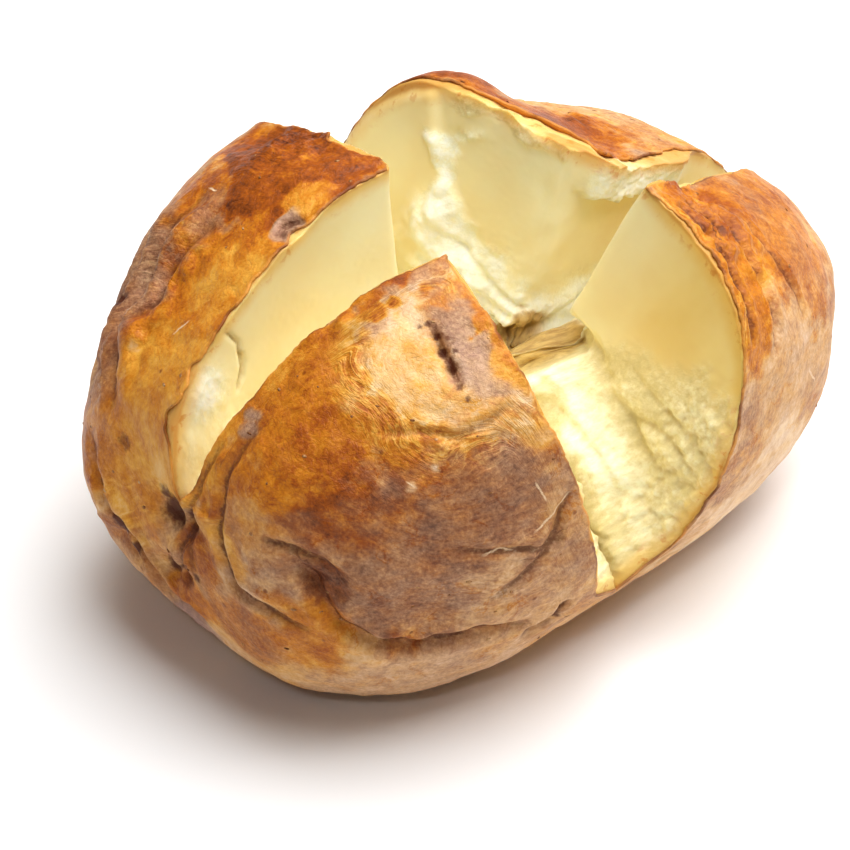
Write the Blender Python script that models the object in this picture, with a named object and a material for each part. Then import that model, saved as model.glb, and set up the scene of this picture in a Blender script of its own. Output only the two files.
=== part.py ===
"""Baked potato, cut down from the top with a cross and pushed open into four quarters that stay joined below.

One solid in metres, +Z up, +X along the long axis. The potato is first made whole and closed, then the two
cuts are made, and then its quarters lean outwards, which opens the cuts.
"""

import math

import bmesh
import bpy
import numpy as np

# The closed potato. Its half sizes differ on the two sides of each axis, so it's as uneven as a real one.
HALF_LENGTH_LEFT = 0.0525
HALF_LENGTH_RIGHT = 0.0565
HALF_WIDTH_FRONT = 0.0340
HALF_WIDTH_BACK = 0.0410
HALF_HEIGHT_BELOW = 0.0325
HALF_HEIGHT_ABOVE = 0.0355
FULLNESS = 2.5  # 2 is an ellipsoid, and more is squarer in its shoulders

# Swellings and hollows: azimuth from +X, elevation, half width in degrees, and height in metres.
SWELLINGS = (
    (0, 10, 38, -0.0010),
    (135, 10, 38, -0.0030),
    (180, 10, 38, -0.0065),
    (225, 10, 38, -0.0015),
    (270, 10, 38, 0.0015),
    (0, 50, 38, -0.0015),
    (45, 50, 38, -0.0065),
    (90, 50, 38, 0.0055),
    (180, 50, 38, -0.0020),
    (315, 50, 38, -0.0020),
    (180, -35, 50, 0.0045),
    (270, -35, 50, -0.0010),
    (140, -12, 30, 0.0020),
    (152, 35, 24, -0.0035),
)

# The cuts: the cross cut is the plane x = 0 and the long cut is y = 0. Their floors rise or fall to the skin.
CUT_WIDTH = 0.0006
FLOOR_CENTRE = 0.0280
FLOOR_FRONT = 0.0105
FLOOR_BACK = 0.0140
FLOOR_LEFT = 0.0325
FLOOR_RIGHT = 0.0235
FLOOR_CURVE = 1.5
BLADE_REACH = 0.0700  # past the skin on every side
BLADE_CELL = 0.0050

# The flesh bends where the quarters join: sideways within BEND_REACH, and upwards within BEND_RISE of a floor.
BEND_REACH = 0.0150
BEND_RISE = 0.0100
PIVOT_HEIGHT = 0.0175

# Each quarter by its side along X and Y: lean about X, Y and Z in degrees, shift in metres, and curl.
QUARTERS = {
    (-1, 1): ((-10.7, 0.9, 2.7), (-0.0060, 0.0055, -0.0002), -0.25),
    (-1, -1): ((2.0, -8.0, -11.0), (-0.0030, -0.0040, -0.0020), 0.45),
    (1, 1): ((3.0, 16.5, 8.0), (0.0035, 0.0015, 0.0002), 0.20),
    (1, -1): ((13.0, 18.0, 9.0), (0.0050, -0.0010, 0.0015), 0.15),
}

SKIN_CELLS = 20  # along each edge of the cube that becomes the potato
FLAT_SPOT_DEPTH = 0.0015

SKIN_COLOUR = (0.42, 0.20, 0.07, 1.0)
SKIN_ROUGHNESS = 0.55


def clear_scene():
    for obj in list(bpy.data.objects):
        bpy.data.objects.remove(obj, do_unlink=True)


def collection(name):
    made = bpy.data.collections.new(name)
    bpy.context.scene.collection.children.link(made)
    return made


def skin_material():
    material = bpy.data.materials.new("baked_skin")
    material.use_nodes = True
    shader = material.node_tree.nodes["Principled BSDF"]
    shader.inputs["Base Color"].default_value = SKIN_COLOUR
    shader.inputs["Roughness"].default_value = SKIN_ROUGHNESS
    shader.inputs["Metallic"].default_value = 0.0
    return material


def direction(azimuth, elevation):
    turn, rise = math.radians(azimuth), math.radians(elevation)
    return np.array((math.cos(turn) * math.cos(rise), math.sin(turn) * math.cos(rise), math.sin(rise)))


def by_side(values, below, above):
    return np.where(values < 0, below, above)


def potato_points(rays):
    """The closed potato's skin along each ray from the middle of the potato."""
    rays = rays / np.linalg.norm(rays, axis=1)[:, None]
    halves = np.stack(
        (
            by_side(rays[:, 0], HALF_LENGTH_LEFT, HALF_LENGTH_RIGHT),
            by_side(rays[:, 1], HALF_WIDTH_FRONT, HALF_WIDTH_BACK),
            by_side(rays[:, 2], HALF_HEIGHT_BELOW, HALF_HEIGHT_ABOVE),
        ),
        axis=1,
    )
    radius = (np.abs(rays / halves) ** FULLNESS).sum(axis=1) ** (-1 / FULLNESS)
    for azimuth, elevation, spread, height in SWELLINGS:
        cosine = np.clip(rays @ direction(azimuth, elevation), -1, 1)
        radius = radius + height * np.exp(-((np.degrees(np.arccos(cosine)) / spread) ** 2))
    points = rays * radius[:, None]
    points[:, 2] += HALF_HEIGHT_BELOW
    return points


def floor_height(along, half_below, half_above, end_below, end_above):
    """The height of a cut's floor at places along it, from the centre to where it meets the skin."""
    share = np.clip(np.abs(along) / by_side(along, half_below, half_above), 0, 1) ** FLOOR_CURVE
    return FLOOR_CENTRE + (by_side(along, end_below, end_above) - FLOOR_CENTRE) * share


def cross_floor(y):
    return floor_height(y, HALF_WIDTH_FRONT, HALF_WIDTH_BACK, FLOOR_FRONT, FLOOR_BACK)


def long_floor(x):
    return floor_height(x, HALF_LENGTH_LEFT, HALF_LENGTH_RIGHT, FLOOR_LEFT, FLOOR_RIGHT)


def smooth_step(value):
    value = np.clip(value, 0, 1)
    return value * value * (3 - 2 * value)


def side_weight(offset, height_above_floor):
    """From -1 to 1: how fully a point belongs to the side of the cut that it's on."""
    reach = np.maximum(np.abs(offset) / BEND_REACH, height_above_floor / BEND_RISE)
    return np.sign(offset) * smooth_step(reach)


def turned(points, turns):
    """Each point turned about the origin by its own rotation vector (Rodrigues' formula)."""
    angle = np.linalg.norm(turns, axis=1)[:, None]
    axis = turns / np.maximum(angle, 1e-9)
    along = (axis * points).sum(axis=1)[:, None] * axis
    return along + (points - along) * np.cos(angle) + np.cross(axis, points) * np.sin(angle)


def opened(points):
    """The same points after the four quarters have leaned outwards."""
    across = side_weight(points[:, 0], points[:, 2] - cross_floor(points[:, 1]))
    along = side_weight(points[:, 1], points[:, 2] - long_floor(points[:, 0]))
    turns = np.zeros_like(points)
    shifts = np.zeros_like(points)
    curls = np.zeros(len(points))
    for (side_x, side_y), (lean, shift, curl) in QUARTERS.items():
        share = (1 + side_x * across) / 2 * (1 + side_y * along) / 2
        turns += share[:, None] * np.radians(lean)
        shifts += share[:, None] * np.array(shift)
        curls += share * curl
    top = HALF_HEIGHT_BELOW + HALF_HEIGHT_ABOVE
    rise = np.clip((points[:, 2] - FLOOR_CENTRE) / (top - FLOOR_CENTRE), 0, 1.2)
    turns *= (1 + curls * (rise - 0.5))[:, None]
    pivot = np.array((0, 0, PIVOT_HEIGHT))
    return pivot + turned(points - pivot, turns) + shifts


def vertex_array(bm):
    return np.array([vertex.co for vertex in bm.verts])


def move_vertices(bm, points):
    for vertex, point in zip(bm.verts, points, strict=True):
        vertex.co = point


def object_of(bm, name, home):
    mesh = bpy.data.meshes.new(name)
    bm.to_mesh(mesh)
    bm.free()
    obj = bpy.data.objects.new(name, mesh)
    home.objects.link(obj)
    return obj


def closed_potato(home):
    """A cube with an even grid of cells, swollen to the potato. Grid lines lie along both cuts."""
    bm = bmesh.new()
    bmesh.ops.create_cube(bm, size=2)
    bmesh.ops.subdivide_edges(bm, edges=list(bm.edges), cuts=SKIN_CELLS - 1, use_grid_fill=True)
    rays = np.tan(vertex_array(bm) * math.pi / 4)
    move_vertices(bm, potato_points(rays))
    bmesh.ops.recalc_face_normals(bm, faces=list(bm.faces))
    return object_of(bm, "baked_potato", home)


def blade(name, home, floor, across):
    """A thin gridded plate along one cut, from its floor to above the potato. It lies along X, or across it."""
    bm = bmesh.new()
    bmesh.ops.create_grid(
        bm,
        x_segments=round(2 * BLADE_REACH / BLADE_CELL),
        y_segments=round(BLADE_REACH / BLADE_CELL),
        size=BLADE_REACH,
    )
    flat = vertex_array(bm)
    share = (flat[:, 1] / BLADE_REACH + 1) / 2
    bottom = floor(flat[:, 0])
    height = bottom + (2 * HALF_HEIGHT_ABOVE + HALF_HEIGHT_BELOW - bottom) * share
    middle = np.full(len(flat), -CUT_WIDTH / 2)
    standing = (middle, flat[:, 0], height) if across else (flat[:, 0], middle, height)
    move_vertices(bm, np.stack(standing, axis=1))
    thickness = (CUT_WIDTH, 0, 0) if across else (0, CUT_WIDTH, 0)
    extruded = bmesh.ops.extrude_face_region(bm, geom=list(bm.faces), use_keep_orig=True)
    moved = [item for item in extruded["geom"] if isinstance(item, bmesh.types.BMVert)]
    bmesh.ops.translate(bm, verts=moved, vec=thickness)
    bmesh.ops.recalc_face_normals(bm, faces=list(bm.faces))
    obj = object_of(bm, name, home)
    obj.hide_render = True
    obj.display_type = "WIRE"
    return obj


def cut(obj, cutter):
    modifier = obj.modifiers.new(cutter.name, "BOOLEAN")
    modifier.operation = "DIFFERENCE"
    modifier.solver = "EXACT"
    modifier.object = cutter


def apply_modifiers(obj):
    bpy.context.view_layer.update()
    evaluated = obj.evaluated_get(bpy.context.evaluated_depsgraph_get())
    mesh = bpy.data.meshes.new_from_object(evaluated)
    obj.modifiers.clear()
    obj.data = mesh


def open_and_stand(obj):
    """Leans the quarters outwards, flattens the spot it rests on, and puts that spot's plane at z = 0."""
    bm = bmesh.new()
    bm.from_mesh(obj.data)
    bmesh.ops.triangulate(bm, faces=list(bm.faces))
    points = opened(vertex_array(bm))
    lowest, highest = points.min(axis=0), points.max(axis=0)
    centre = (lowest + highest) / 2
    points -= np.array((centre[0], centre[1], lowest[2] + FLAT_SPOT_DEPTH))
    move_vertices(bm, points)
    everything = list(bm.verts) + list(bm.edges) + list(bm.faces)
    cut_through = bmesh.ops.bisect_plane(
        bm, geom=everything, plane_co=(0, 0, 0), plane_no=(0, 0, 1), clear_inner=True
    )
    rim = [item for item in cut_through["geom_cut"] if isinstance(item, bmesh.types.BMEdge)]
    bmesh.ops.holes_fill(bm, edges=rim, sides=0)
    bmesh.ops.recalc_face_normals(bm, faces=list(bm.faces))
    bm.to_mesh(obj.data)
    bm.free()


clear_scene()
parts = collection("baked_potato")
cutters = collection("cutters")
potato = closed_potato(parts)
cut(potato, blade("cross_cut", cutters, cross_floor, across=True))
cut(potato, blade("long_cut", cutters, long_floor, across=False))
apply_modifiers(potato)
open_and_stand(potato)
potato.data.materials.append(skin_material())
potato.data.shade_smooth()
potato.data.set_sharp_from_angle(angle=math.radians(40))
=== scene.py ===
"""Looks of a baked potato that was cut down from the top with a cross and pushed open."""

import math

import bpy
import numpy as np
from mathutils import Matrix, Vector, noise
from mathutils.geometry import delaunay_2d_cdt


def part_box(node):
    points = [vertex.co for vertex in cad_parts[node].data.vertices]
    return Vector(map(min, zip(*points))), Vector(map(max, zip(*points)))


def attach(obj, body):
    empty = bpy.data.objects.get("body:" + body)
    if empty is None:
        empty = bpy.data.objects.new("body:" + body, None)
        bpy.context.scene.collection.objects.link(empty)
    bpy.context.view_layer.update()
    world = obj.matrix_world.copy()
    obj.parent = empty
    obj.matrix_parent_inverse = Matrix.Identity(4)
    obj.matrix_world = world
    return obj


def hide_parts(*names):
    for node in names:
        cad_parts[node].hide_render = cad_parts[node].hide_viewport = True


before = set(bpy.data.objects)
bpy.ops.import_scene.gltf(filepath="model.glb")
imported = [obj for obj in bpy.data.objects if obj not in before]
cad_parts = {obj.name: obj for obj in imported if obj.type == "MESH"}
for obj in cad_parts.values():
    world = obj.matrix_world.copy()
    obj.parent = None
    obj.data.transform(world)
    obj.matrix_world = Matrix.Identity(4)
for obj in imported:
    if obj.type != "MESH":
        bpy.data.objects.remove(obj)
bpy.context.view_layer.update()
MM = 0.001  # the shapes are worked out in mm, and mesh_object turns them into metres

# ---------------------------------------------------------------------------------------------------
# The flesh. One baked tuber, cut with a knife from the top and then pushed open by hand. Its quarters
# stay joined below, so the cut faces are smooth above and torn and mealy towards their floors.
# ---------------------------------------------------------------------------------------------------

# The closed potato's half sizes on the lower and the upper side of each axis.
HALF_LENGTH = (52.5, 56.5)
HALF_WIDTH = (34.0, 41.0)
HALF_HEIGHT = (32.5, 35.5)
FULLNESS = 2.5  # 2 is an ellipsoid, and more is squarer in its shoulders
MIDDLE = np.array((0.0, 0.0, HALF_HEIGHT[0]))
TOP = HALF_HEIGHT[0] + HALF_HEIGHT[1]

# Swellings and hollows: azimuth from +X, elevation, half width in degrees, and height.
SWELLINGS = (
    (0, 10, 38, -1.0), (135, 10, 38, -3.0), (180, 10, 38, -6.5), (225, 10, 38, -1.5), (270, 10, 38, 1.5),
    (0, 50, 38, -1.5), (45, 50, 38, -6.5), (90, 50, 38, 5.5), (180, 50, 38, -2.0), (315, 50, 38, -2.0),
    (180, -35, 50, 4.5), (270, -35, 50, -1.0), (140, -12, 30, 2.0), (152, 35, 24, -3.5),
)

# A cut is named by the axis that it crosses. Its two halves lie on the low and the high side of the
# other axis, and each half has a face on both sides of the cut.
CROSS, LONG = 0, 1
FLOOR_CENTRE = 28.0
FLOOR_ENDS = {CROSS: (10.5, 14.0), LONG: (34.3, 23.5)}
FLOOR_CURVE = 1.5
BEND_REACH = 15.0
BEND_RISE = 10.0
PIVOT = np.array((0.0, 0.0, 17.5))

# Each quarter by its side along X and Y: lean about X, Y and Z in degrees, shift, and curl.
QUARTERS = {
    (-1, 1): ((-10.7, 0.9, 2.7), (-6.0, 5.5, -0.2), -0.25),
    (-1, -1): ((2.0, -8.0, -11.0), (-3.0, -4.0, -2.0), 0.45),
    (1, 1): ((3.0, 16.5, 8.0), (3.5, 1.5, 0.2), 0.20),
    (1, -1): ((13.0, 18.0, 9.0), (5.0, -1.0, 1.5), 0.15),
}


def unit(vectors):
    return vectors / np.maximum(np.linalg.norm(vectors, axis=-1, keepdims=True), 1e-12)


def direction(azimuth, elevation):
    turn, rise = math.radians(azimuth), math.radians(elevation)
    return np.array((math.cos(turn) * math.cos(rise), math.sin(turn) * math.cos(rise), math.sin(rise)))


def by_side(values, pair):
    return np.where(values < 0, pair[0], pair[1])


def rising(value, start=0.0, width=1.0):
    """From 0 up to the start to 1 a width further on, with no corners."""
    share = np.clip((value - start) / width, 0, 1)
    return share * share * (3 - 2 * share)


def falling(value, end, width=1.0):
    """From 1 to 0 over the last width before the end."""
    return rising(-value, -end, width)


def bell(distance, half_width=1.0):
    return np.exp(-((distance / half_width) ** 2))


def plain_points(rays):
    """The closed potato before its dents and folds, along each ray from its middle."""
    rays = unit(rays)
    pairs = (HALF_LENGTH, HALF_WIDTH, HALF_HEIGHT)
    halves = np.stack([by_side(rays[:, axis], pair) for axis, pair in enumerate(pairs)], axis=1)
    radius = (np.abs(rays / halves) ** FULLNESS).sum(axis=1) ** (-1 / FULLNESS)
    for azimuth, elevation, spread, height in SWELLINGS:
        angle = np.degrees(np.arccos(np.clip(rays @ direction(azimuth, elevation), -1, 1)))
        radius = radius + height * bell(angle, spread)
    return rays * radius[:, None] + MIDDLE


def plain_normals(rays):
    step = 0.01
    rays = unit(rays)
    helper = np.where(np.abs(rays[:, 2:3]) < 0.9, [[0.0, 0.0, 1.0]], [[1.0, 0.0, 0.0]])
    first = unit(np.cross(helper, rays))
    second = np.cross(rays, first)
    middle, beside, above = (plain_points(rays + shift) for shift in (0, step * first, step * second))
    return unit(np.cross(beside - middle, above - middle))


# Dents in the skin: azimuth, elevation, half width and depth. A negative depth is a lump.
DENTS = (
    # The front quarter: round its eye, the eye's pits, a pressed place and its flank.
    (-119, 59, 8, 0.9), (-90, 62, 5, -0.5), (-120, 61, 1.2, 1), (-116, 56, 1.1, 1), (-123, 65, 0.7, 0.7),
    (-149, 7, 3.2, 1.9), (-138, 8, 7, -1.4), (-162, 2, 6, -1), (-158, 20, 6, -0.8), (-132, -4, 5, 0.6),
    (-114, 3, 12, -1),
    # The left quarter: its eye, below the left end of the long cut, and its folded flank.
    (173, 59, 3, 0.7), (166, 50, 6, -0.5), (150, 2, 9, -0.7), (179, 0, 2.8, 2.6), (-176, 2, 1.8, 1.4),
    (179, -10, 2, 1.8), (-177, -9, 1.6, 1.2), (164, -13, 2.8, 2.2), (168, -16, 2.2, 1.4), (176, -4, 4, -0.9),
    (141, 27, 4, 1.6), (151, 19, 4.5, -1.1), (133, 38, 4, -0.9),
    # The back and the right quarters.
    (79, 46, 9, -2.2), (70, 58, 6, 0.9), (99, 51, 6, 2.3), (22, 58, 6, 0.9), (45, 40, 8, 0.8),
    (92, 12, 9, 1), (70, -8, 4, 1.3), (12, 5, 5, 1.4), (-40, 62, 5, -0.8), (-66, 64, 3, -0.7),
    (-18, 66, 3.5, 0.8), (-48, 54, 5, 0.7), (-30, 12, 6, 0.9),
)

# Creases over the skin: half width, depth, height of the lips beside them, and azimuths and elevations.
CREASES = (
    (0.8, 0.7, 0.2, ((-127, 68), (-121, 63), (-117, 58), (-114, 51))),
    (1.2, 1.7, 0.6, ((-155, 14), (-151, 6), (-147, -3), (-140, -9), (-130, -12), (-119, -13), (-109, -17))),
    (0.9, 0.8, 0.5, ((-160, 14), (-154, 14), (-148, 12), (-144, 7))),
    (1.0, 1.0, 0.4, ((-170, 32), (-172, 20), (-170, 6), (-166, 0), (-158, -2), (-152, -5))),
    (0.8, 0.6, 0.3, ((-177, 24), (-179, 14), (-177, 2), (-174, -8))),
    (1.7, 1.4, 0.9, ((128, 46), (135, 35), (142, 27), (147, 20), (155, 14), (161, 8))),
    (1.4, 0.9, 0.7, ((143, 46), (146, 35), (152, 27), (151, 19))),
    (1.3, 0.8, 0.5, ((124, 32), (133, 26), (138, 16), (148, 5))),
    (1.3, 1.5, 0.9, ((155, 2), (163, -9), (171, -13), (178, -17), (-175, -19))),
    (0.8, 0.8, 0.4, ((-176, 4), (-178, -4), (-177, -12))),
    (0.7, 0.6, 0.3, ((-124, 14), (-112, 11), (-104, 8), (-97, 9))),
    (0.8, 0.7, 0.3, ((-118, -3), (-108, 3), (-101, 8), (-96, 16), (-92, 20))),
    (1.0, 1.2, 0.4, ((-112, -22), (-104, -20), (-98, -15))),
    (0.9, 1.1, 0.5, ((-14, 70), (-34, 66), (-52, 61), (-62, 53), (-68, 44), (-72, 34))),
    (0.6, 0.45, 0.3, ((177, 62), (172, 61), (169, 58), (171, 56), (176, 56))),
    (0.7, 0.5, 0.3, ((-24, 62), (-36, 55), (-48, 45), (-52, 34))),
    (0.9, 0.8, 0.4, ((30, 52), (48, 38), (62, 20), (70, 2))),
    (0.8, 0.7, 0.3, ((8, 30), (16, 12), (12, -6), (20, -22))),
    (1.0, 0.9, 0.4, ((98, 30), (92, 14), (96, -2), (104, -18))),
    (0.7, 0.9, 0.4, ((-55, 80), (-72, 70), (-80, 60), (-83, 50), (-85, 40))),
    (0.6, 0.8, 0.3, ((-34, 76), (-50, 70), (-64, 66))),
    (0.7, 0.3, 0.3, ((-138, 41), (-128, 42.5), (-117, 40.5), (-106, 43.5), (-98, 46))),
)


def noise_field(points, size, seed, octaves=2):
    """Smooth noise of about -1 to 1 whose features measure size, or (x, y, z) sizes."""
    shifted = points / np.asarray(size) + np.array((17.3, -5.1, 9.7)) * seed
    return np.array([noise.fractal(place, 0.9, 2.1, octaves) for place in shifted.tolist()])


def skin_place(azimuth, elevation):
    return plain_points(direction(azimuth, elevation)[None])[0]


def distance_to(points, azimuth, elevation):
    return np.linalg.norm(points - skin_place(azimuth, elevation), axis=1)


def near_spots(points, *spots):
    """The sum of soft spots on the skin, each given by its azimuth, elevation and half width."""
    return sum(bell(distance_to(points, *spot[:2]), spot[2]) for spot in spots)


def line_distance(points, line):
    """Distance from a line over the skin, and how far along it the nearest place is, from 0 to 1."""
    places = [skin_place(*spot) for spot in line]
    nearest, along = np.full(len(points), np.inf), np.zeros(len(points))
    for number, (start, end) in enumerate(zip(places[:-1], places[1:])):
        span = end - start
        share = np.clip((points - start) @ span / (span @ span), 0, 1)
        distance = np.linalg.norm(points - start - share[:, None] * span, axis=1)
        along = np.where(distance < nearest, (number + share) / (len(places) - 1), along)
        nearest = np.minimum(nearest, distance)
    return nearest, along


def line_marks(points, lines):
    """Distance from the nearest of the lines, signed by its side, and how strong that line is there."""
    signed, strength, best = np.full(len(points), 9.0), np.zeros(len(points)), np.full(len(points), np.inf)
    for weight, line in lines:
        distance, along = line_distance(points, line)
        places = np.array([skin_place(*spot) for spot in line])
        number = np.minimum((along * (len(places) - 1)).astype(int), len(places) - 2)
        starts, ends = places[number], places[number + 1]
        side = (np.cross(ends - starts, starts - MIDDLE) * (points - starts)).sum(axis=1)
        closer = distance < best
        signed = np.where(closer, distance * np.sign(side), signed)
        taper = np.sqrt(np.clip(6 * along * (1 - along), 0, 1)) * rising(2 - distance / 1.1)
        strength = np.where(closer, weight * taper, strength)
        best = np.minimum(best, distance)
    return np.clip(signed, -3, 3), strength


FRONT_EYE = (-118, 60)
EYE_RING, EYE_RING_WIDTH = 13.8, 3.0  # the wrinkles round the front eye
PUCKER_WIDTH, PUCKER_HEIGHT = 1.9, 0.35


def wrinkle_bands(points):
    """Where the skin puckered into fine parallel wrinkles, from 0 to 1."""
    front = bell(distance_to(points, *FRONT_EYE) - EYE_RING, EYE_RING_WIDTH)
    front *= (points[:, 1] < -3) * (points[:, 0] < 2)
    flank = near_spots(points, (138, 26, 9), (168, -8, 8))
    others = near_spots(points, (30, 35, 12), (80, 0, 12), (110, 60, 9))
    others += 0.45 * near_spots(points, (-60, 30, 16)) + 0.6 * near_spots(points, (-118, 8, 20))
    return np.clip(front + 0.8 * flank + 0.7 * others, 0, 1)


def wrinkle_path(points):
    """A length whose level lines are the lines that the wrinkles follow."""
    share = rising(-points[:, 0], width=8) * rising(-points[:, 1], width=8)
    path = share * distance_to(points, *FRONT_EYE) + (1 - share) * points[:, 0]
    return path + 3.0 * noise_field(points, 14, 31, 2) + 0.4 * noise_field(points, 4, 32, 2)


def relief(points):
    """How far dents, folds and broad unevenness raise the skin at each point of the plain potato."""
    height = 0.8 * noise_field(points, 24, 1) + 0.35 * noise_field(points, 9, 2, 3)
    height -= 0.16 * (1 - np.abs(noise_field(points, 6, 4, 2))) ** 4
    for azimuth, elevation, half_width, depth in DENTS:
        height -= depth * near_spots(points, (azimuth, elevation, half_width))
    wander = 1 + 0.5 * noise_field(points, 3, 9)
    for half_width, depth, lip, line in CREASES:
        distance, along = line_distance(points, line)
        taper = np.sqrt(np.clip(4 * along * (1 - along), 0, 1))
        width = half_width * wander
        height += taper * (lip * bell(distance - 2.1 * width, width) - depth * bell(distance, width))
    pitted = near_spots(points, (-60, 68, 9), (-20, 72, 8), (104, 62, 8))
    height += 0.75 * np.clip(pitted, 0, 1) * noise_field(points, 2.8, 35, 3)
    streaks = np.stack((wrinkle_path(points) / PUCKER_WIDTH, points[:, 0] / 9, points[:, 2] / 9), axis=1)
    puckers = (1 - np.abs(noise_field(streaks, 1.0, 33, 2))) ** 2 - 0.5
    return height + wrinkle_bands(points) * PUCKER_HEIGHT * puckers


def skin_points(rays):
    points = plain_points(rays)
    return points + relief(points)[:, None] * plain_normals(rays)


def cut_height(points, cut):
    """Height above the cut's floor, which runs from the centre to the skin at both ends."""
    along = points[:, 1 - cut]
    halves = HALF_LENGTH if cut == LONG else HALF_WIDTH
    share = np.clip(np.abs(along) / by_side(along, halves), 0, 1) ** FLOOR_CURVE
    return points[:, 2] - FLOOR_CENTRE - (by_side(along, FLOOR_ENDS[cut]) - FLOOR_CENTRE) * share


def side_weight(points, sides, cut):
    """From the quarters' side, -1 or 1, to 0 where they are joined."""
    reach = np.maximum(np.abs(points[:, cut]) / BEND_REACH, cut_height(points, cut) / BEND_RISE)
    return sides[:, cut] * rising(reach)


def turned(points, turns):
    angle = np.linalg.norm(turns, axis=1)[:, None]
    axis = turns / np.maximum(angle, 1e-9)
    along = (axis * points).sum(axis=1)[:, None] * axis
    return along + (points - along) * np.cos(angle) + np.cross(axis, points) * np.sin(angle)


def leaned(points, sides):
    """Points of the closed potato after its quarters have leaned outwards. sides holds each one's quarter."""
    across, along = side_weight(points, sides, CROSS), side_weight(points, sides, LONG)
    turns, shifts, curls = np.zeros_like(points), np.zeros_like(points), np.zeros(len(points))
    for (side_x, side_y), (lean, shift, curl) in QUARTERS.items():
        share = (1 + side_x * across) / 2 * (1 + side_y * along) / 2
        turns += share[:, None] * np.radians(lean)
        shifts += share[:, None] * np.array(shift)
        curls += share * curl
    rise = np.clip((points[:, 2] - FLOOR_CENTRE) / (TOP - FLOOR_CENTRE), 0, 1.2)
    turns *= (1 + curls * (rise - 0.5))[:, None]
    return PIVOT + turned(points - PIVOT, turns) + shifts


def folded_rays(u, v, quarter):
    """Evenly spread rays of one quarter: (0, 0) is straight up, (1, 1) straight down, u + v = 1 level."""
    below = u + v > 1
    x, y = np.where(below, 1 - v, u), np.where(below, 1 - u, v)
    steps = np.stack((x, y, 1 - u - v), axis=1)
    return unit(np.sin(steps * math.pi / 2) * np.array((*quarter, 1.0)))


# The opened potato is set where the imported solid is, by the sides and the top of both.
tries = [folded_rays(*np.random.default_rng(1).random((2, 4000)), quarter) for quarter in QUARTERS]
tried_sides = np.repeat(np.array(list(QUARTERS), float), 4000, axis=0)
tried = leaned(plain_points(np.concatenate(tries)), tried_sides)
cad_low, cad_high = (np.array(corner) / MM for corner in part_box("baked_potato"))
SEAT = (cad_low + cad_high - tried.min(axis=0) - tried.max(axis=0)) / 2
SEAT[2] = cad_high[2] - tried[:, 2].max()
SETTLE = 1.2  # how gently the underside flattens onto the table


def opened(points, sides):
    places = leaned(points, sides) + SEAT
    height = places[:, 2]
    settled = np.maximum(height + SETTLE, 0) ** 2 / (4 * SETTLE)
    places[:, 2] = np.where(height < SETTLE, settled, height)
    return places


class Surface:
    """Points and triangles where points of one name are one point."""

    def __init__(self):
        self.numbers, self.rest, self.sides, self.faces = {}, [], [], []

    def add(self, names, points, quarter):
        found = np.empty(len(names), int)
        for place, (name, point) in enumerate(zip(names, points, strict=True)):
            if name not in self.numbers:
                self.numbers[name] = len(self.rest)
                self.rest.append(point)
                self.sides.append(quarter)
            found[place] = self.numbers[name]
        return found

    def join(self, triangles, flip=False):
        self.faces.extend(triangles[:, ::-1] if flip else triangles)

    def arrays(self):
        return np.array(self.rest), np.array(self.sides, float), np.array(self.faces)


def mesh_object(name, points, faces, **attributes):
    mesh = bpy.data.meshes.new(name)
    mesh.from_pydata((points * MM).tolist(), [], faces.tolist())
    for label, values in attributes.items():
        kind, field = ("FLOAT_VECTOR", "vector") if values.ndim == 2 else ("FLOAT", "value")
        layer = mesh.attributes.new(label, kind, "POINT")
        layer.data.foreach_set(field, values.astype(np.float32).ravel())
    mesh.shade_smooth()
    obj = bpy.data.objects.new(name, mesh)
    bpy.context.scene.collection.objects.link(obj)
    return obj


WALL_ROWS = 140
COARSE_STEP = 0.06
FLESH_DEPTH = 0.3
HIDDEN_DEPTH = 5.0
FAR = 1000.0


def meridian_rays(turns, cut, half):
    """Rays down the edge of a cut's half, from 0 straight up to 2 straight down."""
    rays = np.zeros((len(turns), 3))
    rays[:, 1 - cut] = half * np.sin(turns * math.pi / 2)
    rays[:, 2] = np.cos(turns * math.pi / 2)
    return rays


def cut_end(cut, half):
    """Where a cut's half ends in the skin, as a turn down its edge."""
    low, high = 0.5, 1.9
    for _ in range(40):
        middle = (low + high) / 2
        above = cut_height(plain_points(meridian_rays(np.array([middle]), cut, half)), cut)[0] > 0
        low, high = (middle, high) if above else (low, middle)
    return (low + high) / 2


def edge_place(turns, cut):
    """Turns down a cut's edge as places on the quarter's unit square."""
    level, beyond = np.minimum(turns, 1), np.maximum(turns - 1, 0)
    return np.stack((level, beyond) if cut == LONG else (beyond, level), axis=1)


def quarter_of(cut, half, side):
    return (half, side) if cut == LONG else (side, half)


def edge_names(cut, half, side, total):
    """Names of the points down a cut's edge. Both sides share the points below its end."""
    names = [(cut, half, side if row < WALL_ROWS else 0, row) for row in range(1, total - 1)]
    return [("top", quarter_of(cut, half, side)), *names, ("bottom",)]


def coarse_quarter(long_turns, cross_turns, extra=np.zeros((0, 2)), step=COARSE_STEP):
    """Coarse triangles over a quarter's unit square, with these points on its cut edges."""
    around = [edge_place(long_turns, LONG), edge_place(cross_turns, CROSS)[1:-1]]
    inner = np.arange(step, 1, step)
    grid = np.stack(np.meshgrid(inner, inner), axis=-1).reshape(-1, 2)
    grid = grid[[not len(extra) or np.abs(extra - place).sum(axis=1).min() > step / 2 for place in grid]]
    places = np.concatenate([*around, grid, extra])
    last = len(long_turns) - 1
    ring = [*range(last + 1), *range(last + len(cross_turns) - 2, last, -1)]
    rim = list(zip(ring, ring[1:] + ring[:1]))
    made = delaunay_2d_cdt([Vector(place) for place in places], rim, [], 0, 1e-7)
    origin = [links[0] for links in made[3]]
    return places, np.array([[origin[corner] for corner in face] for face in made[2]])


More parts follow.
